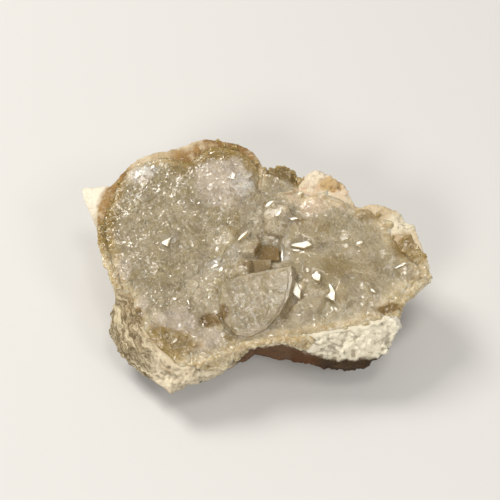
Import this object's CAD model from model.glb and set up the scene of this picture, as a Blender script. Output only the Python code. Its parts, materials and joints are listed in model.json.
"""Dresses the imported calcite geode: weathered limestone rind, clear to milky crystals.

Run as a script. It is laid out as a Blender add-on, with one operator for each piece
and one for the stage. Places in the tables below are in millimetres in the model's own
frame: X to the right of the crystal face, Y away from its lower edge, Z up.
"""

import json
import math
import random

import bmesh
import bpy
from bpy.props import (
    FloatProperty,
    FloatVectorProperty,
    IntProperty,
    PointerProperty,
)
from mathutils import Euler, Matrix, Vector, noise
from mathutils.bvhtree import BVHTree

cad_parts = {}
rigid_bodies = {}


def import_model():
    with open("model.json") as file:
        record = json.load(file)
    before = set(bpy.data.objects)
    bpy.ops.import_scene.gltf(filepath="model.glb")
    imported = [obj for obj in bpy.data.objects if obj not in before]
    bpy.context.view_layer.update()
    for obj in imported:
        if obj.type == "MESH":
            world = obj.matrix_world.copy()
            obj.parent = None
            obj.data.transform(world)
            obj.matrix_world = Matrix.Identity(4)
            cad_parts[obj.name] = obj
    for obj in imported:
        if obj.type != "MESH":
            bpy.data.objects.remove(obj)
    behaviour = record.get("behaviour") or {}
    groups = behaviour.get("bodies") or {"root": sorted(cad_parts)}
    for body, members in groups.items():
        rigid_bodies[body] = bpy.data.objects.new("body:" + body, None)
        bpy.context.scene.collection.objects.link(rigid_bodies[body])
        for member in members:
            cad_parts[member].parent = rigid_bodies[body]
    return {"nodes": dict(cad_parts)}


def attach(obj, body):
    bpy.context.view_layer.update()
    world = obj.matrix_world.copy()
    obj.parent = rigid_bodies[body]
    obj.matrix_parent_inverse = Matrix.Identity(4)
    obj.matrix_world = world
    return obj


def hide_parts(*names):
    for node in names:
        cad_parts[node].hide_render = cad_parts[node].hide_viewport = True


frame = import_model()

bl_info = {
    "name": "Calcite Geode",
    "version": (1, 0, 0),
    "blender": (4, 5, 0),
    "location": "3D View > Sidebar > Geode",
    "description": "Weathered limestone rind and calcite crystals on the packed model",
    "category": "Object",
}

MM = 0.001
UP = Vector((0, 0, 1))
DOWN = Vector((0, 0, -1))
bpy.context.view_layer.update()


# Shared helpers


def smooth(t):
    """Eases from 0 to 1 as t goes from 0 to 1."""
    t = min(max(t, 0.0), 1.0)
    return t * t * (3 - 2 * t)


def disc(p, x, y, radius, soft):
    """1 well inside a circle round x, y, easing to 0 at its radius."""
    return smooth((radius - math.hypot(p.x - x, p.y - y)) / soft)


def surface_below(surface, x, y):
    """The highest point of a surface at x, y in millimetres."""
    return surface.ray_cast(Vector((x, y, 100)) * MM, DOWN)[0]


def merged_node(name):
    """A CAD node's mesh with its loose triangles joined."""
    mesh = bmesh.new()
    mesh.from_mesh(frame["nodes"][name].data)
    bmesh.ops.remove_doubles(mesh, verts=mesh.verts, dist=0.002 * MM)
    return mesh


def new_piece(name, mesh, material):
    """An object at the origin from a bmesh, which is freed."""
    data = bpy.data.meshes.new(name)
    mesh.to_mesh(data)
    mesh.free()
    data.materials.append(material)
    piece = bpy.data.objects.new(name, data)
    bpy.context.scene.collection.objects.link(piece)
    return piece


def add_even_faces(piece, size):
    """Adds a modifier that rebuilds a piece's mesh from faces of one size."""
    remesh = piece.modifiers.new("Even Faces", "REMESH")
    remesh.mode = "VOXEL"
    remesh.voxel_size = size


def settle(piece):
    """Turns a piece's modifiers into plain mesh and removes them."""
    seen = piece.evaluated_get(bpy.context.evaluated_depsgraph_get())
    data = bpy.data.meshes.new_from_object(seen)
    piece.modifiers.clear()
    piece.data = data


def keep_values(piece, name, values, domain="POINT"):
    """Stores one number for each vertex or face, for the materials to read."""
    attribute = piece.data.attributes.new(name, "FLOAT", domain)
    attribute.data.foreach_set("value", values)


class Value:
    """A number socket of a material, so that its maths can be written out."""

    def __init__(self, recipe, socket):
        self.recipe = recipe
        self.socket = socket

    def maths(self, operation, *values):
        node = self.recipe.node("Math", {"operation": operation}, dict(enumerate(values)))
        return Value(self.recipe, node.outputs[0])

    def __add__(self, other):
        return self.maths("ADD", self, other)

    def __radd__(self, other):
        return self.maths("ADD", other, self)

    def __sub__(self, other):
        return self.maths("SUBTRACT", self, other)

    def __rsub__(self, other):
        return self.maths("SUBTRACT", other, self)

    def __mul__(self, other):
        return self.maths("MULTIPLY", self, other)

    def __truediv__(self, other):
        return self.maths("DIVIDE", self, other)

    def __pow__(self, other):
        return self.maths("POWER", self, other)

    def between(self, low, high):
        """0 below low, 1 above high, and eased between them; low may be the larger."""
        node = self.recipe.node(
            "MapRange",
            {"interpolation_type": "SMOOTHSTEP"},
            {"Value": self, "From Min": low, "From Max": high},
        )
        return Value(self.recipe, node.outputs[0])

    def largest(self, other):
        return self.maths("MAXIMUM", self, other)

    def smallest(self, other):
        return self.maths("MINIMUM", self, other)


class Recipe:
    """A material under construction. Its paint is its colour so far."""

    def __init__(self, name, paint=None):
        self.paint = paint
        self.material = bpy.data.materials.new(name)
        self.material.use_nodes = True
        self.tree = self.material.node_tree
        self.tree.nodes.clear()
        self.output = self.node("OutputMaterial")
        place = self.node("TexCoord").outputs["Object"]
        scaled = self.node(
            "VectorMath", {"operation": "SCALE"}, {0: place, "Scale": 1 / MM}
        )
        self.place = scaled.outputs[0]
        apart = self.node("SeparateXYZ", None, {0: self.place})
        self.x, self.y, self.z = (Value(self, socket) for socket in apart.outputs)

    def node(self, kind, settings=None, sockets=None):
        """Any shader node: its settings go in first, then its sockets' values or links."""
        node = self.tree.nodes.new("ShaderNode" + kind)
        for key, value in (settings or {}).items():
            setattr(node, key, value)
        for key, value in (sockets or {}).items():
            if isinstance(value, Value):
                value = value.socket
            if isinstance(value, bpy.types.NodeSocket):
                self.tree.links.new(value, node.inputs[key])
            else:
                node.inputs[key].default_value = value
        return node

    def attribute(self, name):
        node = self.node("Attribute", {"attribute_name": name})
        return Value(self, node.outputs["Fac"])

    def noise(self, size, detail=2.0, roughness=0.5, place=None):
        """Noise with lumps about size millimetres across, from 0 to 1."""
        node = self.node(
            "TexNoise",
            None,
            {
                "Vector": place or self.place,
                "Scale": 1 / size,
                "Detail": detail,
                "Roughness": roughness,
            },
        )
        return Value(self, node.outputs["Fac"])

    def cells(self, size, feature="F1", place=None):
        """Cells about size millimetres across: the distance to their middles or edges."""
        node = self.node(
            "TexVoronoi",
            {"feature": feature},
            {"Vector": place or self.place, "Scale": 1 / size},
        )
        return Value(self, node.outputs["Distance"])

    def vectors(self, operation, first, second):
        """Two vectors through one operation."""
        return self.node("VectorMath", {"operation": operation}, {0: first, 1: second})

    def chips(self, size):
        """Height of flat chips about size millimetres across, each tilted its own way."""
        cell = self.node("TexVoronoi", None, {"Vector": self.place, "Scale": 1 / size})
        tilt = self.vectors("SUBTRACT", cell.outputs["Color"], (0.5, 0.5, 0.5))
        offset = self.vectors("SUBTRACT", self.place, cell.outputs["Position"])
        height = self.vectors("DOT_PRODUCT", tilt.outputs[0], offset.outputs[0])
        return Value(self, height.outputs["Value"])

    def stretched(self, scale, turn):
        """The place, turned in degrees and stretched, for streaks and lines."""
        node = self.node(
            "Mapping",
            {"vector_type": "TEXTURE"},
            {
                "Vector": self.place,
                "Rotation": [math.radians(angle) for angle in turn],
                "Scale": scale,
            },
        )
        return node.outputs[0]

    def colour(self, factor, first, second, blend="MIX"):
        """Two colours mixed by a factor; each is a colour or a colour socket."""
        ends = [
            end if isinstance(end, bpy.types.NodeSocket) else (*end, 1)
            for end in (first, second)
        ]
        mix = self.node(
            "Mix",
            {"data_type": "RGBA", "blend_type": blend, "clamp_factor": True},
            {0: factor, 6: ends[0], 7: ends[1]},
        )
        return mix.outputs[2]

    def coat(self, share, colour, blend="MIX"):
        """Lays a colour over the paint so far, as thick as its share."""
        self.paint = self.colour(share, self.paint, colour, blend)

    def spot(self, x, y, width, depth, wobble=None):
        """1 inside an oval of that width and depth, 0 outside, with a ragged rim."""
        across = (self.x - x) / (width / 2)
        along = (self.y - y) / (depth / 2)
        reach = (across * across + along * along) ** 0.5
        if wobble is not None:
            reach = reach + (wobble - 0.5) * 1.1
        return reach.between(1.25, 0.75)

    def patches(self, table, wobble):
        """The largest of a table's spots: each row is x, y, width, depth and share."""
        together = None
        for x, y, width, depth, share in table:
            spot = self.spot(x, y, width, depth, wobble) * share
            together = spot if together is None else together.largest(spot)
        return together

    def bump(self, height, strength, distance, normal=None):
        """A normal from a height in millimetres, over another normal or the mesh's own."""
        sockets = {"Height": height, "Strength": strength, "Distance": distance * MM}
        if normal is not None:
            sockets["Normal"] = normal
        return self.node("Bump", None, sockets).outputs[0]

    def worn_edges(self, radius):
        """A normal that turns smoothly over each sharp edge, radius in millimetres."""
        return self.node("Bevel", {"samples": 6}, {"Radius": radius * MM}).outputs[0]


# Limestone rind


class RindSettings(bpy.types.PropertyGroup):
    """Sizes and colours of the limestone."""

    mesh_size: FloatProperty(
        name="Mesh Size",
        description="Width of the rind's mesh faces before they are displaced",
        default=0.51 * MM,
        min=0.3 * MM,
        unit="LENGTH",
    )
    strata: FloatProperty(
        name="Strata Depth",
        description="How far the layers of the lower left block stand out",
        default=1.0 * MM,
        unit="LENGTH",
    )
    grit: FloatProperty(
        name="Grit Depth",
        description="Depth of the grains on broken rock",
        default=0.8 * MM,
        unit="LENGTH",
    )
    cream: FloatVectorProperty(
        name="Cream",
        description="Freshly broken limestone",
        subtype="COLOR",
        default=(0.80, 0.68, 0.48),
    )
    chalk: FloatVectorProperty(
        name="Chalk",
        description="The white broken block at the lower right",
        subtype="COLOR",
        default=(1.0, 0.97, 0.87),
    )
    ochre: FloatVectorProperty(
        name="Ochre",
        description="Stained rock next to the crystals",
        subtype="COLOR",
        default=(0.36, 0.21, 0.07),
    )
    earth: FloatVectorProperty(
        name="Earth",
        description="Dirt in the pits and between the layers",
        subtype="COLOR",
        default=(0.16, 0.10, 0.05),
    )
    shade: FloatVectorProperty(
        name="Under Brown",
        description="The dark earthy rock low on the front",
        subtype="COLOR",
        default=(0.055, 0.03, 0.012),
    )


def layered_share(p):
    """1 on the layered block at the lower left."""
    return smooth((-27.5 - p.x) / 5) * smooth((-8 - p.y) / 5)


def stain_share(p):
    """1 where the rim is ochre: along the far lobe, the left edge, the right pocket, the
    notch at the front and the ragged notch behind."""
    shoulder = smooth((11 - abs(p.x + 34)) / 4)
    far = smooth((p.y - 22) / 8) * smooth((5 - p.x) / 5) * (1 - 0.8 * shoulder)
    left = smooth((-37 - p.x) / 4) * smooth((p.y + 2) / 8)
    pocket = smooth((p.x - 42) / 4) * smooth((8 - p.y) / 3) * smooth((p.y + 6) / 4)
    notch = smooth((16 - abs(p.x - 8)) / 5) * smooth((-20 - p.y) / 4)
    ragged = disc(p, 12, 31, 9, 3)
    return max(far, left, 0.8 * pocket, 0.2 * notch, ragged)


def rough_share(p):
    """1 on the broken parts: white block, peak, cream patch at the right, low edge and
    left edge."""
    peak = disc(p, 25, 26, 13, 4)
    patch = disc(p, 47, 9.5, 6, 3)
    low = smooth((-22 - p.y) / 4) * smooth((p.x + 24) / 4)
    right = smooth((p.x - 36) / 5) * smooth((-8 - p.y) / 4)
    left = smooth((-38 - p.x) / 4) * smooth((16 - p.y) / 4) * smooth(p.z - 20)
    return max(0.75 * peak, 0.8 * patch, low, right, 0.7 * left)


def chalk_share(p):
    """1 on the white broken block at the lower right, down to its earthy foot."""
    low = p.z - 14.6 - 1.6 * noise.noise(p / 4)
    return smooth((p.x - 14.5) / 4) * smooth((-19 - p.y) / 4) * smooth(low / 1.5)


def strata_level(p, away):
    """Which layer a point lies in: the layers run along the rim of the crystals."""
    level = 0.8 * away + 0.45 * p.z + 0.15 * p.x
    return level + 0.7 * noise.noise(p / 11) + 0.45 * noise.noise(p / 1.3)


def strata_height(p, level):
    """Thin uneven layers with ragged steps: about -1 to 1."""
    broad = noise.noise(Vector((3.1, 7.7, level * 0.6)))
    thin = noise.noise(Vector((3.1, 7.7, level * 1.5)))
    steps = abs(level / 1.7 % 1.0 - 0.5) * 2 - 0.5
    return broad * 0.9 + thin * 0.5 + steps * 0.5 + 0.35 * noise.noise(p / 1.1)


def grit_height(p):
    """Sharp small grains and pits: about -1 to 1."""
    crumbs = noise.voronoi(p / 1.5)[0][0]
    clods = noise.voronoi(p / 3.8 + Vector((9, 0, 0)))[0][0]
    pits = smooth((noise.noise(p / 1.1) - 0.25) * 5)
    grit = 1.1 * (0.45 - crumbs) + 1.0 * (0.4 - clods) - 0.7 * pits
    return grit + 0.6 * noise.noise(p / 6) + 0.3 * noise.noise(p / 0.8)


def skin_height(p):
    """The weathered outside: soft lumps with a few round pits."""
    lumps = 0.8 * noise.noise(p / 5.5) + 0.45 * noise.noise(p / 2.2)
    pit = max(0.0, 0.42 - noise.voronoi(p / 5.0)[0][0]) * 2.0
    return lumps + 0.22 * noise.noise(p / 0.9) - pit * smooth(noise.noise(p / 12) * 3)


def limestone(settings):
    """Cream rock with an ochre band along the crystals, dirt in its pits and layers."""
    rock = Recipe("limestone", settings.cream)
    pit = rock.attribute("pit")
    band = rock.attribute("near_crystals")
    layered = rock.attribute("layered")
    chalky = rock.attribute("chalky")
    rough = rock.attribute("rough")
    under = rock.attribute("under")
    broad = rock.noise(14, 3)
    patchy = rock.noise(4.5, 4, 0.6)
    speckle = rock.noise(0.8, 3, 0.7)
    wobble = rock.noise(5, 3, 0.6)
    rock.coat(broad.between(0.35, 0.7), (0.60, 0.46, 0.27))
    rock.coat(patchy.between(0.50, 0.70) * 0.8, (0.44, 0.31, 0.16))
    rock.coat(rough * 0.55, (0.86, 0.77, 0.58))
    rock.coat(chalky, settings.chalk)
    bright = rock.spot(47, 9.5, 9, 7, wobble).largest(rock.spot(30, -26, 40, 12, wobble))
    rock.coat(bright * 0.8, (0.90, 0.82, 0.62))
    spur = rock.spot(-54, 25, 16, 22)
    rock.coat(spur, (0.95, 0.85, 0.68))
    peak = rock.spot(26, 25, 20, 16)
    rock.coat(peak * 0.8, (0.88, 0.76, 0.57))
    flush = rock.spot(23, 21, 18, 7, wobble)
    rock.coat(flush * patchy.between(0.4, 0.65) * 0.8, (0.74, 0.50, 0.31))
    rust = rock.spot(25.5, 23.5, 8, 5, wobble)
    rock.coat(rust * 0.75, (0.58, 0.37, 0.13))
    level = rock.attribute("level")
    streak = rock.node(
        "CombineXYZ", None, {"X": rock.x * 0.08, "Y": rock.y * 0.08, "Z": level * 1.6}
    )
    lines = rock.noise(1, 4, 0.65, streak.outputs[0])
    greyed = rock.noise(7, 3).between(0.45, 0.6)
    rock.coat(layered * 0.8, (0.38, 0.29, 0.155))
    rock.coat(layered * greyed * 0.4, (0.40, 0.36, 0.26))
    thin = lines.between(0.475, 0.50) * lines.between(0.57, 0.535)
    rock.coat(layered * thin * 0.85, (0.15, 0.105, 0.045))
    rock.coat(layered * lines.between(0.45, 0.38) * 0.8, (0.80, 0.69, 0.47))
    stain = band * (rock.noise(3.5, 3, 0.6).between(0.35, 0.55) * 0.65 + 0.35)
    mottled = rock.colour(patchy.between(0.4, 0.6), settings.ochre, (0.27, 0.15, 0.05))
    mottled = rock.colour(speckle.between(0.55, 0.7) * 0.5, mottled, (0.60, 0.44, 0.22))
    rock.coat(stain, mottled)
    rusty = rock.spot(6, -28, 30, 14)
    shade = rock.colour(rusty, settings.shade, (0.13, 0.055, 0.02))
    rock.coat(under, shade)
    dirt = pit.between(0.2, 0.95) * (1 - rough * 0.55)
    dirt = dirt * (1 - chalky) + pit.between(0.85, 1.0) * chalky * 0.5
    rock.coat(dirt * 0.85, settings.earth)
    dark = speckle.between(0.60, 0.76) * (1 - chalky * 0.7)
    rock.coat(dark * 0.45, (0.30, 0.21, 0.11))
    rock.coat(speckle.between(0.42, 0.26) * (1 - under) * 0.5, (0.94, 0.89, 0.76))
    grain = rock.noise(0.35, 4, 0.75) + rock.noise(1.3, 3, 0.6) * 1.5 - rock.cells(0.9)
    surface = rock.node(
        "BsdfPrincipled",
        None,
        {
            "Base Color": rock.paint,
            "Roughness": 0.72 + speckle * 0.25,
            "Specular IOR Level": 0.35,
            "Normal": rock.bump(grain, 1.0, 0.4),
        },
    )
    rock.tree.links.new(surface.outputs[0], rock.output.inputs["Surface"])
    return rock.material


class GEODE_OT_rind(bpy.types.Operator):
    """Makes the limestone rind with its layers, grit, pits and stains"""

    bl_idname = "geode.rind"
    bl_label = "Limestone Rind"

    def execute(self, context):
        settings = context.scene.geode_rind
        crust = merged_node("crystal_crust")
        crystals = BVHTree.FromBMesh(crust)
        crust.free()
        piece = new_piece("limestone_rind", merged_node("rind"), limestone(settings))
        add_even_faces(piece, settings.mesh_size)
        settle(piece)
        self.weather(piece, crystals, settings)
        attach(piece, "root")
        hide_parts("rind")
        return {"FINISHED"}

    def weather(self, piece, crystals, settings):
        """Moves each vertex along its normal and keeps what the material reads."""
        mesh = piece.data
        normals = [Vector(n.vector) for n in mesh.vertex_normals]
        names = ("pit", "near_crystals", "layered", "chalky", "rough", "under", "level")
        kept = {name: [] for name in names}
        moves = []
        for vert, normal in zip(mesh.vertices, normals):
            p = vert.co / MM
            away = crystals.find_nearest(vert.co)[3] / MM
            layered = layered_share(p)
            chalky = chalk_share(p)
            shelf = smooth((-25 - p.y) / 4) * smooth((4 - p.x) / 5) * smooth(normal.z * 3)
            broken = max(chalky, shelf, rough_share(p))
            grit = settings.grit / MM * grit_height(p) * (1 + 0.7 * chalky)
            skin = 0.42 * skin_height(p)
            level = strata_level(p, away)
            strata = settings.strata / MM * strata_height(p, level) + 0.35 * grit
            relief = grit * broken + skin * (1 - broken)
            relief = relief * (1 - layered) + strata * layered
            relief *= smooth((away - 0.1) / 0.9) * smooth(p.z / 1.2)
            moves.append(normal * relief * MM)
            kept["pit"].append(min(max(-relief * 1.5, 0.0), 1.0))
            rim = smooth((5.2 - away) / 3.6) * smooth((normal.z - 0.2) * 2.5)
            outer = smooth((normal.z - 0.55) * 4)
            kept["near_crystals"].append(rim * outer * max(stain_share(p), 0.15))
            kept["layered"].append(layered)
            kept["chalky"].append(chalky)
            kept["rough"].append(broken)
            kept["level"].append(level)
            foot = smooth((p.x - 8) / 5) * smooth((16 - p.z) / 2) * smooth((-18 - p.y) / 5)
            notch = smooth((13 - abs(p.x - 6)) / 4) * smooth((-16 - p.y) / 5)
            notch *= smooth((18.5 - p.z) / 2.5)
            low = smooth((-normal.z - 0.1) * 1.6) * smooth((16 - p.z) / 10) * 0.8
            kept["under"].append(max(low, foot * (1 - chalky), 0.95 * notch))
        for vert, move in zip(mesh.vertices, moves):
            vert.co += move
        for name, values in kept.items():
            keep_values(piece, name, values)
        mesh.shade_smooth()


# Crystal crust


# Rock that small crystals creep over: x, y, width, depth
CREPT_OVER = (
    # ragged notch behind the middle
    (12, 31, 15, 10),
    # broken edge at the lower right
    (46, -15, 16, 12),
    # low edge
    (-8, -31, 26, 9),
    (6, -29, 26, 8),
    # brown pocket at the right
    (50, 1.5, 6, 8),
    # left edge and right tip
    (-43, 2, 12, 24),
    (53, -6, 9, 12),
)

# The skin that creeps over it: how far from the crust it may reach, its longest edge
# before it is thickened, its thickness and the width of its mesh faces
SKIN_ZONE = 5 * MM
SKIN_EDGE = 0.7 * MM
SKIN_THICKNESS = 1.1 * MM
SKIN_MESH_SIZE = 0.5 * MM

# Where the large crystals stay sharp: x, y, width, depth
SHARP = (
    (2, -15, 30, 30),
    (6, 4, 28, 26),
    (28, -8, 32, 26),
    (10, 15, 18, 16),
)

# Faces that catch the key lamp: x, y, length, width, turn in degrees, corners
BRIGHT_FACES = (
    (16.2, 3.5, 6.4, 3.6, -12, 5),
    (14.1, -11.5, 7.6, 2.6, -68, 5),
    (20.3, -7.6, 4.6, 2.6, -60, 6),
    (25.1, -13.6, 7.0, 2.6, -72, 5),
    (-26.7, 4.3, 4.8, 3.0, 38, 3),
    (-3.1, 6.0, 8.6, 1.1, 42, 5),
    (-10.9, -2.4, 3.0, 1.8, 30, 5),
    (-12.7, -0.6, 2.1, 1.4, -20, 4),
    (-9.0, -3.9, 1.9, 1.3, 60, 4),
    (46.2, -5.2, 5.0, 1.0, 14, 5),
    (10.1, 2.2, 5.4, 1.0, 84, 5),
    (-0.7, -15.1, 2.4, 1.7, 10, 5),
    (6.3, 17.7, 3.6, 2.0, 20, 6),
    (13.8, 11.7, 3.2, 1.4, -10, 5),
    (-36.0, 27.8, 3.4, 1.4, 34, 5),
    (-31.4, 31.0, 2.2, 1.5, 50, 5),
    (-5.5, 26.1, 2.6, 2.1, 75, 6),
    (-23.0, -13.7, 2.2, 1.4, 5, 4),
    (33.9, 2.4, 2.6, 1.2, 25, 5),
    (9.0, 13.0, 3.4, 1.6, 55, 5),
    (-2.5, -5.0, 3.0, 0.7, 60, 4),
    (21.0, 12.5, 2.4, 1.2, -30, 4),
    (37.4, -12.0, 3.8, 0.9, -50, 5),
    (4.6, -19.6, 2.6, 1.3, 30, 4),
    (0.6, -18.6, 2.0, 1.1, -15, 5),
)

# Crystals in each cluster of bright faces, and how far from the first one the others
# stray, as a share of its length and width. Then how far a face stands out and how much
# more for each millimetre of its reach, and how deep its crystal goes
CLUSTER = 5
CLUSTER_STRAY = 0.75
SHARD_LIFT = 0.15
SHARD_LIFT_FOR_REACH = 0.13
SHARD_DEPTH = 2.5

# The large flat crystal below the middle: its outline, three points on its face, the
# point that its top layers keep to, each layer's width, as a share of the outline, and
# height, and how deep the layers go
SHIELD = (
    (-8.9, -11.3),
    (-2.9, -8.3),
    (5.1, -6.7),
    (13.5, -4.9),
    (13.7, -9.5),
    (12.3, -14.9),
    (9.5, -20.1),
    (5.3, -24.5),
    (0.5, -27.1),
    (-4.3, -26.7),
    (-7.9, -22.7),
    (-9.3, -17.1),
)
SHIELD_POINTS = ((-4, -13), (7, -12), (0, -20))
SHIELD_KEEPS_TO = (-2.5, -22.0)
SHIELD_LAYERS = ((0.95, 0.32), (0.87, 0.60))
SHIELD_DEPTH = 2

# Crystal faces over the brown hollow in the middle: outline, slope to the right and
# away, and how far a face stands over what is under it. Then how deep they go
HOLLOW_FACES = (
    (((1.8, 5.8), (8.8, 4.8), (9.2, 0.6), (2.4, -0.4)), (0.0, 0.06), 0.5),
    (((-2.0, -0.6), (6.6, -0.2), (5.8, -6.2), (-2.4, -6.2)), (-0.08, 0.2), 1.3),
)
HOLLOW_DEPTH = 3

# Where those faces are polished: x, y, width, depth
POLISHED = ((5.5, 2.7, 7, 6), (2.8, -3.4, 8, 5))

# Patches on the crystals: x, y, width, depth, share. Honey-brown stain, dark brown,
# pale haze and white frost
STAINS = (
    (-14, 37, 34, 10, 1.0),
    (-22, 31, 9, 9, 0.8),
    (1, 33, 7, 9, 0.8),
    (-46.5, 14, 8, 22, 0.9),
    (-28, -28.5, 23, 11, 1.0),
    (37.5, 13.5, 9, 6, 0.7),
    (12, 31, 16, 10, 1.0),
    (-28, -26, 14, 8, 1.0),
    (-6, -26, 5, 4, 0.7),
    (-5, 11, 4, 9, 0.5),
    (27, -4, 9, 8, 0.5),
    (37, -6, 12, 7, 0.3),
    (22, 9, 7, 4, 0.4),
    (15.8, -12.5, 4, 4, 0.4),
    (27.5, -13, 4, 6, 0.4),
    (43, -19, 8, 4, 0.6),
)
BROWNS = (
    (-11.4, -19.8, 9, 5.5, 1.0),
    (-34.4, -18, 3, 4, 1.0),
    (5.6, 2.6, 8.4, 7, 1.0),
    (1.8, -3.2, 10, 6, 0.8),
    (11.2, -18.5, 5, 6, 0.5),
    (48, 5, 8, 12, 0.4),
    (15.8, 11, 4, 3, 0.6),
    (41.5, -18.6, 7, 3.4, 1.0),
)
HAZES = (
    (-39.5, -3.5, 5, 8, 0.9),
    (-33.5, -15, 4, 5, 0.9),
    (-22, -21, 13, 9, 1.0),
    (-14, -26.5, 14, 8, 0.9),
    (4, -27, 22, 6, 0.7),
    (31, 17.5, 9, 8, 0.9),
    (-8.5, 26, 18, 19, 1.0),
    (-36.5, 29, 12, 8, 0.6),
)
FROSTS = (
    (-36, 29.5, 14, 6, 0.8),
    (-2, 24, 7, 8, 0.6),
    (-10.5, -2.5, 5, 4, 0.6),
    (11, 3.5, 3, 8, 0.5),
)


class CrustSettings(bpy.types.PropertyGroup):
    """Sizes and colours of the crystals."""

    mesh_size: FloatProperty(
        name="Mesh Size",
        description="Width of the crust's mesh faces before crystals grow on it",
        default=0.65 * MM,
        min=0.4 * MM,
        unit="LENGTH",
    )
    softness: IntProperty(
        name="Softness",
        description="How often the large crystals are smoothed",
        default=30,
    )
    spacing: FloatProperty(
        name="Small Crystal Spacing",
        description="Least distance between small crystals",
        default=1.1 * MM,
        unit="LENGTH",
    )
    smallest: FloatProperty(
        name="Smallest",
        description="Radius of the smallest of the small crystals",
        default=0.5 * MM,
        unit="LENGTH",
    )
    largest: FloatProperty(
        name="Largest",
        description="Radius of the largest of the small crystals",
        default=1.3 * MM,
        unit="LENGTH",
    )
    grains: FloatProperty(
        name="Sparkling Grain Spacing",
        description="Least distance between the tiny crystals that sparkle",
        default=0.8 * MM,
        unit="LENGTH",
    )
    seed: IntProperty(name="Seed", description="Places of the small crystals", default=4)
    clear: FloatVectorProperty(
        name="Clear",
        description="Tint of the clear calcite's surface",
        subtype="COLOR",
        default=(0.97, 0.96, 0.92),
    )
    milky: FloatVectorProperty(
        name="Milky",
        description="Clouded calcite",
        subtype="COLOR",
        default=(0.54, 0.46, 0.31),
    )
    honey: FloatVectorProperty(
        name="Honey",
        description="What thick clear calcite lets through",
        subtype="COLOR",
        default=(0.95, 0.88, 0.62),
    )


def oval_share(p, ovals):
    """1 well inside any of the ovals, 0 outside them all."""
    inside = 0.0
    for x, y, width, depth in ovals:
        reach = math.hypot((p.x - x) / width * 2, (p.y - y) / depth * 2)
        inside = max(inside, smooth((1.15 - reach) * 4))
    return inside


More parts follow.
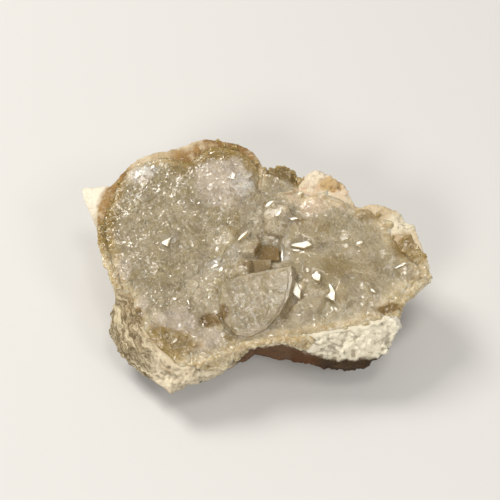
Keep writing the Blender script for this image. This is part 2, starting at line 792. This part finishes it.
def calcite(settings):
    """Clear calcite mixed with clouded calcite, frosted and stained in places."""
    stone = Recipe("calcite", settings.milky)
    facet = stone.attribute("facet")
    wobble = stone.noise(6, 3, 0.55)
    fine = stone.noise(1.6, 3, 0.6)
    cloud = stone.noise(9, 4, 0.6)
    tint = stone.noise(13, 3, 0.6)
    veil = stone.noise(1, 4, 0.65, stone.stretched((0.8, 5.0, 2.0), (25, 15, 30)))
    speck = stone.noise(0.55, 2, 0.6)
    peak = stone.spot(22, 20, 17, 13, wobble)
    shield = stone.spot(2.4, -16.5, 22, 20)
    right = stone.spot(29, 1, 38, 28, wobble)
    stained = stone.patches(STAINS, wobble)
    brown = stone.patches(BROWNS, wobble)
    hazy = stone.patches(HAZES, wobble)
    frosty = stone.patches(FROSTS, wobble) * fine.between(0.35, 0.6)
    edge = stone.attribute("edge")
    sharp = stone.attribute("sharp")
    polished = stone.attribute("polished")
    rusty = stone.attribute("rusty")
    milk = 0.66 + (cloud - 0.5) * 0.6 + (facet - 0.5) * 0.2 + (veil - 0.5) * 0.5
    milk = milk + hazy * 0.2 + peak * 0.2 + brown * 0.1 + edge * 0.3 - shield * 0.2
    milk = milk.largest(0.3).smallest(0.97)

    stone.coat(facet, (0.60, 0.52, 0.37))
    stone.coat(tint.between(0.45, 0.65) * 0.7, (0.44, 0.37, 0.20))
    stone.coat(cloud.between(0.5, 0.7) * 0.6, (0.62, 0.55, 0.43))
    stone.coat(veil.between(0.55, 0.75) * 0.35, (0.68, 0.62, 0.50))
    leaning = stone.stretched((0.7, 1.5, 1.0), (10, 20, -35))
    rims = stone.cells(3.2, "DISTANCE_TO_EDGE", place=leaning).between(0.035, 0.008)
    rims = rims.largest(stone.cells(1.7, "DISTANCE_TO_EDGE").between(0.05, 0.01) * 0.7)
    rims = rims * fine.between(0.42, 0.6) * (1 - right * 0.4)
    stone.coat(rims * 0.75, (0.95, 0.92, 0.84))
    dome = stone.spot(-31, 12, 38, 50)
    grainy = stone.spot(0, -19, 13, 11, wobble)
    stone.coat(dome * 0.4, (0.33, 0.27, 0.13))
    stone.coat(right * 0.25, (0.36, 0.30, 0.15))
    stone.coat(shield * 0.6, (0.70, 0.61, 0.43))
    inner = stone.spot(4.2, -16.5, 16, 15, wobble)
    stone.coat(inner * 0.4, (0.48, 0.40, 0.22))
    stone.coat(grainy * rims, (0.95, 0.93, 0.88))
    stone.coat(hazy * 0.7, (0.62, 0.54, 0.47))
    stone.coat(frosty, (0.88, 0.87, 0.86))
    stone.coat(peak * 0.7, (0.76, 0.61, 0.46))
    crumbly = stone.colour(fine.between(0.35, 0.6), (0.76, 0.66, 0.50), (0.56, 0.43, 0.24))
    stone.coat(edge * (cloud * 0.8 + 0.4), crumbly)
    stained = stained.largest(edge * rusty)
    stone.coat(stained * (fine * 0.6 + 0.55), (0.32, 0.215, 0.05))
    stone.coat(brown * 0.92, (0.22, 0.135, 0.035))
    stone.coat(speck.between(0.60, 0.70) * 0.45, (0.92, 0.88, 0.79))
    stone.coat(speck.between(0.36, 0.28) * 0.30, (0.26, 0.20, 0.10))

    # The lamps are as strong as the chalk needs, so all of the calcite is dimmed a little
    stone.coat(1.0, (0.88, 0.86, 0.81), "MULTIPLY")
    lines = stone.noise(1, 3, 0.6, stone.stretched((0.22, 2.2, 0.5), (20, 35, 25)))
    crossed = stone.noise(1, 3, 0.6, stone.stretched((2.0, 0.25, 0.6), (-30, 15, -40)))
    sugary = stone.noise(5, 3, 0.6).between(0.38, 0.6).largest(hazy)
    sugary = sugary * (1 - shield * 0.3) * (1 - right * 0.5)
    chips = stone.chips(0.7) + stone.chips(1.5) * 0.7
    share = 0.2 + sugary * 0.5 * (1 - sharp * 0.6) + grainy * 0.25
    chips = chips * share * (1 - polished * 0.92)
    height = chips + (lines + crossed) * 0.03
    normal = stone.bump(height, 1.0, 1.0, stone.worn_edges(0.3))
    clear = stone.node(
        "BsdfPrincipled",
        None,
        {
            "Base Color": (*settings.clear, 1),
            "Roughness": 0.04 + fine * 0.12 + facet * 0.08,
            "IOR": 1.6,
            "Transmission Weight": 1.0,
            "Normal": normal,
        },
    )
    milky = stone.node(
        "BsdfPrincipled",
        None,
        {
            "Base Color": stone.paint,
            "Roughness": 0.04 + fine * 0.14 * (1 - polished) + hazy * 0.06,
            "IOR": 1.6,
            "Subsurface Weight": 1.0,
            "Subsurface Radius": (1.0, 0.85, 0.6),
            "Subsurface Scale": 3.6 * MM,
            "Normal": normal,
        },
    )
    both = stone.node(
        "MixShader", None, {0: milk, 1: clear.outputs[0], 2: milky.outputs[0]}
    )
    depth = stone.node(
        "VolumeAbsorption", None, {"Color": (*settings.honey, 1), "Density": 45.0}
    )
    stone.tree.links.new(both.outputs[0], stone.output.inputs["Surface"])
    stone.tree.links.new(depth.outputs[0], stone.output.inputs["Volume"])
    return stone.material


def cut_crystal(planes):
    """A cube 4 wide cut by planes, each a normal and its distance from the origin."""
    mesh = bmesh.new()
    bmesh.ops.create_cube(mesh, size=4)
    for normal, distance in planes:
        normal = Vector(normal).normalized()
        cut = bmesh.ops.bisect_plane(
            mesh,
            geom=mesh.verts[:] + mesh.edges[:] + mesh.faces[:],
            plane_co=normal * distance,
            plane_no=normal,
            clear_outer=True,
        )
        rim = [item for item in cut["geom_cut"] if isinstance(item, bmesh.types.BMEdge)]
        if rim:
            bmesh.ops.holes_fill(mesh, edges=rim)
    bmesh.ops.recalc_face_normals(mesh, faces=mesh.faces)
    return mesh


def crystal_form(rng, slope):
    """A small crystal of radius 1 with its tip at the origin: three end faces over six
    steep sides."""
    planes = []
    for k in range(6):
        turn = math.radians(60 * k + rng.uniform(-12, 12))
        flare = math.radians(rng.uniform(-4, 10))
        normal = (math.cos(turn), math.sin(turn), math.sin(flare))
        planes.append((normal, rng.uniform(0.6, 1.0)))
    for k in range(3):
        turn = math.radians(120 * k + 30 + rng.uniform(-9, 9))
        side = math.sin(math.radians(slope + rng.uniform(-3, 3)))
        normal = (math.cos(turn) * side, math.sin(turn) * side, math.sqrt(1 - side * side))
        planes.append((normal, rng.uniform(-0.06, 0.05)))
    planes.append(((0, 0, -1), 1.2))
    return cut_crystal(planes)


def prism(outline, top, depth):
    """A closed prism: its top face through the outline's points, its sides along depth."""
    mesh = bmesh.new()
    upper = [mesh.verts.new(top(x, y)) for x, y in outline]
    lower = [mesh.verts.new(vert.co + depth) for vert in upper]
    mesh.faces.new(upper)
    mesh.faces.new(lower[::-1])
    for k in range(len(outline)):
        j = (k + 1) % len(outline)
        mesh.faces.new((upper[k], lower[k], lower[j], upper[j]))
    bmesh.ops.recalc_face_normals(mesh, faces=mesh.faces)
    return mesh


# Crystals sprinkled on the crust: least spacing, smallest and largest radius in metres,
# unless the settings give them, how far they lean in radians and how far they stand out
# as a share of their radius. Then the most of any kind on a square metre
PLATES = (1.9 * MM, 1.0 * MM, 3.0 * MM, 0.13, 0.04)
SMALL_CRYSTALS_STAND = (0.16, 0.12)
GRAIN_SIZES_AND_STAND = (0.2 * MM, 0.45 * MM, 0.6, 0.3)
RIM_CRYSTALS = (1.0 * MM, 0.5 * MM, 1.2 * MM, 0.4, 0.15)
THICKEST = 2500000.0

# Mesh faces that turn less than this belong to one facet
SAME_FACET = math.radians(4)


def growth_tree(name):
    """Geometry nodes that grow small crystals and tiny sparkling ones on the crust and
    its rim, and join all of them in one closed surface."""
    tree = bpy.data.node_groups.new(name, "GeometryNodeTree")
    face = tree.interface
    face.new_socket("Geometry", in_out="INPUT", socket_type="NodeSocketGeometry")
    for label, kind in (
        ("Rim", "NodeSocketObject"),
        ("Extra Crystals", "NodeSocketCollection"),
        ("Forms", "NodeSocketCollection"),
        ("Material", "NodeSocketMaterial"),
        ("Spacing", "NodeSocketFloat"),
        ("Smallest", "NodeSocketFloat"),
        ("Largest", "NodeSocketFloat"),
        ("Grain Spacing", "NodeSocketFloat"),
        ("Seed", "NodeSocketInt"),
    ):
        face.new_socket(label, in_out="INPUT", socket_type=kind)
    face.new_socket("Geometry", in_out="OUTPUT", socket_type="NodeSocketGeometry")

    def node(kind, settings=None, sockets=None):
        made = tree.nodes.new(kind)
        for key, value in (settings or {}).items():
            setattr(made, key, value)
        for key, value in (sockets or {}).items():
            if isinstance(value, bpy.types.NodeSocket):
                tree.links.new(value, made.inputs[key])
            else:
                made.inputs[key].default_value = value
        return made

    given = node("NodeGroupInput").outputs
    forms = node(
        "GeometryNodeCollectionInfo",
        None,
        {0: given["Forms"], "Separate Children": True, "Reset Children": True},
    )

    def sprinkled(surface, share, spacing, smallest, largest, lean, lift):
        """Small crystals on a surface, as thick as its attribute says."""
        growth = node(
            "GeometryNodeInputNamedAttribute", {"data_type": "FLOAT"}, {"Name": share}
        )
        points = node(
            "GeometryNodeDistributePointsOnFaces",
            {"distribute_method": "POISSON"},
            {
                "Mesh": surface,
                "Distance Min": spacing,
                "Density Max": THICKEST,
                "Density Factor": growth.outputs["Attribute"],
                "Seed": given["Seed"],
            },
        )
        tilt = node(
            "FunctionNodeRandomValue",
            {"data_type": "FLOAT_VECTOR"},
            {0: (-lean, -lean, 0.0), 1: (lean, lean, math.tau), "Seed": 3},
        )
        as_turn = node("FunctionNodeEulerToRotation", None, {0: tilt.outputs[0]})
        turned = node(
            "FunctionNodeRotateRotation",
            {"rotation_space": "LOCAL"},
            {"Rotation": points.outputs["Rotation"], "Rotate By": as_turn.outputs[0]},
        )
        size = node(
            "FunctionNodeRandomValue",
            {"data_type": "FLOAT"},
            {2: smallest, 3: largest, "Seed": 5},
        )
        grown = node(
            "GeometryNodeInstanceOnPoints",
            None,
            {
                "Points": points.outputs["Points"],
                "Instance": forms.outputs[0],
                "Pick Instance": True,
                "Rotation": turned.outputs[0],
                "Scale": size.outputs[1],
            },
        )
        raised = node(
            "GeometryNodeTranslateInstances",
            None,
            {"Instances": grown.outputs[0], "Translation": (0, 0, lift), "Local Space": True},
        )
        return raised.outputs[0]

    rim = node("GeometryNodeObjectInfo", None, {"Object": given["Rim"]}).outputs["Geometry"]
    extra = node(
        "GeometryNodeCollectionInfo",
        {"transform_space": "ORIGINAL"},
        {0: given["Extra Crystals"], "Separate Children": True},
    )
    parts = [
        given["Geometry"],
        extra.outputs[0],
        sprinkled(given["Geometry"], "plates", *PLATES),
        sprinkled(
            given["Geometry"],
            "growth",
            given["Spacing"],
            given["Smallest"],
            given["Largest"],
            *SMALL_CRYSTALS_STAND,
        ),
        sprinkled(
            given["Geometry"], "sparkle", given["Grain Spacing"], *GRAIN_SIZES_AND_STAND
        ),
        sprinkled(rim, "growth", *RIM_CRYSTALS),
    ]
    joined = node(
        "GeometryNodeMeshBoolean", {"operation": "UNION", "solver": "MANIFOLD"}
    )
    for part in parts:
        tree.links.new(part, joined.inputs[1])
    plain = node("GeometryNodeRealizeInstances", None, {0: joined.outputs[0]})
    finished = node(
        "GeometryNodeSetMaterial",
        None,
        {"Geometry": plain.outputs[0], "Material": given["Material"]},
    )
    out = node("NodeGroupOutput")
    tree.links.new(finished.outputs[0], out.inputs[0])
    return tree


def set_inputs(modifier, values):
    """Sets a node modifier's inputs by their sockets' identifiers."""
    for item in modifier.node_group.interface.items_tree:
        if item.in_out == "INPUT" and item.name in values:
            modifier[item.identifier] = values[item.name]


def flat_groups(mesh, limit):
    """A number from 0 to 1 for each face, shared by faces that lie in one plane."""
    mesh.faces.ensure_lookup_table()
    shades = [None] * len(mesh.faces)
    rng = random.Random(11)
    for start in mesh.faces:
        if shades[start.index] is not None:
            continue
        shade = rng.random()
        shades[start.index] = shade
        stack = [start]
        while stack:
            face = stack.pop()
            for edge in face.edges:
                for other in edge.link_faces:
                    if shades[other.index] is None and other.normal.dot(start.normal) > limit:
                        shades[other.index] = shade
                        stack.append(other)
    return shades


def twin_faces(mesh):
    """All faces that share their corners with another, as where a thin tip is folded."""
    found = {}
    for face in mesh.faces:
        corners = frozenset(vert.index for vert in face.verts)
        found.setdefault(corners, []).append(face)
    return {face for faces in found.values() if len(faces) > 1 for face in faces}


def collection_of(name, meshes):
    """A loose collection with one object for each bmesh, which are freed."""
    collection = bpy.data.collections.new(name)
    for k, mesh in enumerate(meshes):
        data = bpy.data.meshes.new(f"{name}_{k}")
        mesh.to_mesh(data)
        mesh.free()
        collection.objects.link(bpy.data.objects.new(f"{name}_{k}", data))
    return collection


class GEODE_OT_crust(bpy.types.Operator):
    """Makes the crust of calcite crystals, with small crystals grown on the large ones"""

    bl_idname = "geode.crust"
    bl_label = "Crystal Crust"

    def execute(self, context):
        settings = context.scene.geode_crust
        stage = context.scene.geode_stage
        material = calcite(settings)
        rock_mesh = merged_node("rind")
        rock = BVHTree.FromBMesh(rock_mesh)
        rock_mesh.free()
        mesh = merged_node("crystal_crust")
        self.root_in_rock(mesh, rock)
        surface = BVHTree.FromBMesh(mesh)
        rim = self.rim_skin(surface, material)
        extra = collection_of(
            "extra crystals",
            self.bright_faces(surface, stage)
            + self.shield_layers(surface)
            + self.hollow_faces(surface),
        )
        extra.objects.link(rim)
        rng = random.Random(23)
        forms = collection_of(
            "small forms", [crystal_form(rng, 4 + 1.5 * k) for k in range(9)]
        )
        piece = new_piece("calcite_crust", mesh, material)
        self.soften(piece, rock, settings)
        self.mark_growth(piece, rock)
        modifier = piece.modifiers.new("Small Crystals", "NODES")
        modifier.node_group = growth_tree("small crystals")
        set_inputs(
            modifier,
            {
                "Rim": rim,
                "Extra Crystals": extra,
                "Forms": forms,
                "Material": material,
                "Spacing": settings.spacing,
                "Smallest": settings.smallest,
                "Largest": settings.largest,
                "Grain Spacing": settings.grains,
                "Seed": settings.seed,
            },
        )
        settle(piece)
        for collection in (forms, extra):
            for helper in list(collection.objects):
                bpy.data.objects.remove(helper)
            bpy.data.collections.remove(collection)
        self.mark_facets(piece, rock)
        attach(piece, "root")
        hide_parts("crystal_crust")
        return {"FINISHED"}

    def root_in_rock(self, mesh, rock):
        """Lets the crust's underside into the rock, so that no air is seen between."""
        moves = []
        for vert in mesh.verts:
            nearest, normal, _, away = rock.find_nearest(vert.co)
            if away < 0.45 * MM:
                moves.append((vert, nearest - normal * 0.55 * MM))
        for vert, place in moves:
            vert.co = place

    def soften(self, piece, rock, settings):
        """Rounds the large crystals off, most of all away from the middle."""
        add_even_faces(piece, settings.mesh_size)
        settle(piece)
        group = piece.vertex_groups.new(name="softened")
        for vert in piece.data.vertices:
            thick = rock.find_nearest(vert.co)[3] / MM
            share = smooth((thick - 0.6) / 2.5) * (1 - oval_share(vert.co / MM, SHARP))
            group.add([vert.index], share, "REPLACE")
        smoother = piece.modifiers.new("Soft", "SMOOTH")
        smoother.factor = 0.5
        smoother.iterations = settings.softness
        smoother.vertex_group = group.name
        settle(piece)

    def rim_skin(self, surface, material):
        """A thin ragged skin on the rock next to the crystals, for small crystals that
        creep over it."""
        mesh = merged_node("rind")

        def keep(wanted):
            bare = [item for item in mesh.faces if not wanted(item)]
            bmesh.ops.delete(mesh, geom=bare, context="FACES")

        def in_zone(item):
            middle = item.calc_center_median()
            return item.normal.z > 0.1 and surface.find_nearest(middle)[3] < SKIN_ZONE

        def skinned(item):
            middle = item.calc_center_median()
            if surface.ray_cast(middle, UP)[0] is not None:
                return False
            p = middle / MM
            ragged = noise.noise(p / 1.9) * 1.5 + noise.noise(p / 0.8) * 0.7
            reach = 3.7 * oval_share(p, CREPT_OVER) - 0.7
            return surface.find_nearest(middle)[3] / MM < reach + ragged

        mesh.normal_update()
        keep(in_zone)
        for _ in range(4):
            long_edges = [edge for edge in mesh.edges if edge.calc_length() > SKIN_EDGE]
            bmesh.ops.subdivide_edges(mesh, edges=long_edges, cuts=1)
            bmesh.ops.triangulate(mesh, faces=mesh.faces)
        mesh.normal_update()
        keep(skinned)
        skin = new_piece("rim skin", mesh, material)
        thick = skin.modifiers.new("Thick", "SOLIDIFY")
        thick.thickness = SKIN_THICKNESS
        thick.offset = 0.1
        add_even_faces(skin, SKIN_MESH_SIZE)
        settle(skin)
        bpy.context.scene.collection.objects.unlink(skin)
        keep_values(skin, "growth", [1.0] * len(skin.data.vertices))
        return skin

    def hollow_faces(self, surface):
        """Flat crystal faces over the brown hollow in the middle."""
        crystals = []
        for outline, lean, lift in HOLLOW_FACES:
            middle = sum((Vector(corner) for corner in outline), Vector((0, 0)))
            middle /= len(outline)
            height = surface_below(surface, *middle).z + lift * MM

            def top(u, v):
                rise = Vector(lean).dot(Vector((u, v)) - middle) * MM
                return Vector((u * MM, v * MM, height + rise))

            crystals.append(prism(outline, top, DOWN * HOLLOW_DEPTH * MM))
        return crystals

    def bright_faces(self, surface, stage):
        """Clusters of crystals whose top faces mirror the key lamp to the front: a large
        one in each, with smaller ones strewn round it."""
        rng = random.Random(31)
        crystals = []
        for x, y, length, width, turn, corners in BRIGHT_FACES:
            place = surface_below(surface, x, y)
            to_eye = (Vector(stage.eye) - place).normalized()
            to_lamp = (Vector(stage.key) - place).normalized()
            axis = (to_eye + to_lamp).normalized()
            across = Vector((math.cos(math.radians(turn)), math.sin(math.radians(turn)), 0))
            across = (across - axis * across.dot(axis)).normalized()
            along = axis.cross(across)
            for k in range(CLUSTER):
                share = 1.0 if k == 0 else rng.uniform(0.15, 0.4)
                stray = 0.0 if k == 0 else CLUSTER_STRAY
                aside = across * rng.uniform(-length, length) * stray
                aside += along * rng.uniform(-width, width) * stray
                outline = []
                for j in range(corners):
                    angle = math.tau * (j + rng.uniform(-0.3, 0.3)) / corners
                    reach = share * rng.uniform(0.42, 0.62)
                    u, v = math.cos(angle) * length, math.sin(angle) * width
                    outline.append((u * reach, v * reach))
                lean = across * rng.uniform(-0.03, 0.03) + along * rng.uniform(-0.03, 0.03)
                middle = place + aside * MM
                crystals.append(self.shard(surface, middle, axis + lean, across, outline))
        return crystals

    def shard(self, surface, place, axis, across, outline):
        """One flat-topped crystal, whose top face looks along axis. A larger one stands
        out further."""
        above = place + Vector((0, 0, 50 * MM))
        hit = surface.ray_cast(above, DOWN)[0] or place
        reach = max(math.hypot(u, v) for u, v in outline)
        middle = hit + axis * (SHARD_LIFT + SHARD_LIFT_FOR_REACH * reach) * MM
        along = axis.cross(across)

        def top(u, v):
            return middle + (across * u + along * v) * MM

        return prism(outline, top, axis * -SHARD_DEPTH * MM)

    def shield_layers(self, surface):
        """Growth layers on the large flat crystal, each smaller and higher than the last."""
        corners = [surface_below(surface, x, y) for x, y in SHIELD_POINTS]
        flat = (corners[1] - corners[0]).cross(corners[2] - corners[0]).normalized()
        flat *= math.copysign(1, flat.z)
        keeps = Vector(SHIELD_KEEPS_TO)
        layers = []
        for share, height in SHIELD_LAYERS:
            base = corners[0] + flat * height * MM

            def top(u, v):
                place = (keeps + (Vector((u, v)) - keeps) * share) * MM
                drop = (place - base.xy).dot(flat.xy) / flat.z
                return Vector((place.x, place.y, base.z - drop))

            layers.append(prism(SHIELD, top, flat * -SHIELD_DEPTH * MM))
        return layers

    def mark_growth(self, piece, rock):
        """Where small crystals grow: many on the left, few on the large smooth ends.
        Sparkling grains keep to patches."""
        mesh = piece.data
        marks = {"growth": [], "sparkle": [], "plates": []}
        for vert, normal in zip(mesh.vertices, mesh.vertex_normals):
            p = vert.co / MM
            up = smooth((Vector(normal.vector).z + 0.1) * 3)
            smooth_right = smooth((p.x - 12) / 6) * smooth((14 - p.y) / 6)
            shield = disc(p, 1.5, -16.5, 11.5, 3)
            window = disc(p, 4, -1, 6.5, 3)
            clean = up * (1 - shield) * (1 - window)
            patch = smooth(noise.noise(p / 7 + Vector((5, 0, 0))) * 2.2 + 0.45)
            frosted = disc(p, -8, 27, 11, 4)
            glints = smooth(noise.noise(p / 6) * 2.5 + 0.3)
            large = 1 - 0.9 * oval_share(p, SHARP)
            marks["growth"].append(clean * patch * (1 - 0.6 * smooth_right) * large)
            marks["sparkle"].append(clean * max(0.7 * glints, 0.9 * frosted))
            thick = rock.find_nearest(vert.co)[3] / MM
            marks["plates"].append(clean * smooth((thick - 1.6) / 1.2) * large)
        for name, values in marks.items():
            keep_values(piece, name, values)

    def mark_facets(self, piece, rock):
        """Gives every flat facet a number of its own and leaves the faces flat."""
        mesh = bmesh.new()
        mesh.from_mesh(piece.data)
        bmesh.ops.triangulate(mesh, faces=mesh.faces)
        shades = flat_groups(mesh, math.cos(SAME_FACET))
        twins = twin_faces(mesh)
        shades = [shade for face, shade in zip(mesh.faces, shades) if face not in twins]
        bmesh.ops.delete(mesh, geom=list(twins), context="FACES")
        mesh.to_mesh(piece.data)
        mesh.free()
        keep_values(piece, "facet", shades, "FACE")
        places = [vert.co for vert in piece.data.vertices]
        thick = [rock.find_nearest(place)[3] / MM for place in places]
        keep_values(piece, "edge", [smooth((2.2 - depth) / 1.6) for depth in thick])
        keep_values(piece, "rusty", [stain_share(place / MM) for place in places])
        keep_values(piece, "sharp", [oval_share(place / MM, SHARP) for place in places])
        glints = [(x, y, length * 1.5, length * 1.5) for x, y, length, *_ in BRIGHT_FACES]
        glints += POLISHED
        keep_values(piece, "polished", [oval_share(place / MM, glints) for place in places])
        piece.data.shade_flat()


# Stage


class StageSettings(bpy.types.PropertyGroup):
    """Camera, floor and lights."""

    lens: FloatProperty(name="Lens", description="Focal length in mm", default=85.0)
    eye: FloatVectorProperty(
        name="Camera Place",
        description="Where the camera stands",
        subtype="TRANSLATION",
        default=(-0.06 * MM, -224.98 * MM, 316.9 * MM),
    )
    tilt: FloatProperty(
        name="Camera Tilt",
        description="Angle from looking straight down",
        subtype="ANGLE",
        default=math.radians(38),
    )
    key: FloatVectorProperty(
        name="Key Lamp Place",
        description="Where the main lamp hangs",
        subtype="TRANSLATION",
        default=(-0.56, 0.48, 0.88),
    )
    floor: FloatVectorProperty(
        name="Floor",
        description="Colour of the plain floor",
        subtype="COLOR",
        default=(0.62, 0.61, 0.59),
    )
    sky: FloatProperty(name="Sky", description="Strength of the plain sky", default=0.36)


# The lamps beside the key lamp: name, place, width in metres, power in watts, colour
LAMPS = (
    ("fill", (0.68, -0.45, 0.75), 0.27, 1.9, (1.0, 0.99, 0.97)),
    ("front", (-0.38, -0.83, 0.68), 0.30, 5.4, (1.0, 0.97, 0.92)),
    ("top", (0.18, -0.08, 1.05), 0.27, 1.8, (1.0, 0.98, 0.95)),
)

# The middle of the geode, which all lamps look at
AIM = Vector((0, 0, 0.02))


def square_lamp(name, place, width, power, colour):
    """A soft square lamp that looks at the geode."""
    data = bpy.data.lights.new(name, "AREA")
    data.size = width
    data.energy = power
    data.color = colour
    lamp = bpy.data.objects.new(name, data)
    lamp.location = place
    lamp.rotation_euler = (AIM - Vector(place)).to_track_quat("-Z", "Y").to_euler()
    bpy.context.scene.collection.objects.link(lamp)


class GEODE_OT_stage(bpy.types.Operator):
    """Makes the floor, the lights and the camera"""

    bl_idname = "geode.stage"
    bl_label = "Stage"

    def execute(self, context):
        settings = context.scene.geode_stage
        scene = context.scene
        paint = Recipe("plain floor")
        surface = paint.node(
            "BsdfPrincipled",
            None,
            {"Base Color": (*settings.floor, 1), "Roughness": 0.8},
        )
        paint.tree.links.new(surface.outputs[0], paint.output.inputs["Surface"])
        mesh = bmesh.new()
        bmesh.ops.create_grid(mesh, x_segments=1, y_segments=1, size=4)
        floor = new_piece("floor", mesh, paint.material)
        world = bpy.data.worlds.new("plain sky")
        world.use_nodes = True
        sky = world.node_tree.nodes["Background"].inputs
        sky["Color"].default_value = (1.0, 0.99, 0.97, 1)
        sky["Strength"].default_value = settings.sky
        scene.world = world
        square_lamp("key", settings.key, 0.42, 9.0, (1.0, 0.97, 0.92))
        for lamp in LAMPS:
            square_lamp(*lamp)
        data = bpy.data.cameras.new("camera")
        data.lens = settings.lens
        data.sensor_width = 36
        data.clip_start = 0.01
        data.clip_end = 20
        camera = bpy.data.objects.new("camera", data)
        camera.location = settings.eye
        camera.rotation_euler = Euler((settings.tilt, 0, 0))
        scene.collection.objects.link(camera)
        scene.camera = camera
        scene.view_settings.view_transform = "Standard"
        return {"FINISHED"}


# Add-on


class GEODE_PT_sidebar(bpy.types.Panel):
    """Lists the geode's operators and settings in the sidebar"""

    bl_idname = "GEODE_PT_sidebar"
    bl_label = "Calcite Geode"
    bl_space_type = "VIEW_3D"
    bl_region_type = "UI"
    bl_category = "Geode"

    def draw(self, context):
        for group, operator in GROUPS:
            box = self.layout.box()
            settings = getattr(context.scene, group)
            for name in type(settings).__annotations__:
                box.prop(settings, name)
            box.operator(operator)


GROUPS = (
    ("geode_rind", "geode.rind"),
    ("geode_crust", "geode.crust"),
    ("geode_stage", "geode.stage"),
)
CLASSES = (
    RindSettings,
    CrustSettings,
    StageSettings,
    GEODE_OT_rind,
    GEODE_OT_crust,
    GEODE_OT_stage,
    GEODE_PT_sidebar,
)


def register():
    for item in CLASSES:
        bpy.utils.register_class(item)
    bpy.types.Scene.geode_rind = PointerProperty(type=RindSettings)
    bpy.types.Scene.geode_crust = PointerProperty(type=CrustSettings)
    bpy.types.Scene.geode_stage = PointerProperty(type=StageSettings)


def unregister():
    del bpy.types.Scene.geode_stage
    del bpy.types.Scene.geode_crust
    del bpy.types.Scene.geode_rind
    for item in reversed(CLASSES):
        bpy.utils.unregister_class(item)


def main():
    register()
    bpy.ops.geode.stage()
    bpy.ops.geode.rind()
    bpy.ops.geode.crust()


if __name__ == "__main__":
    main()
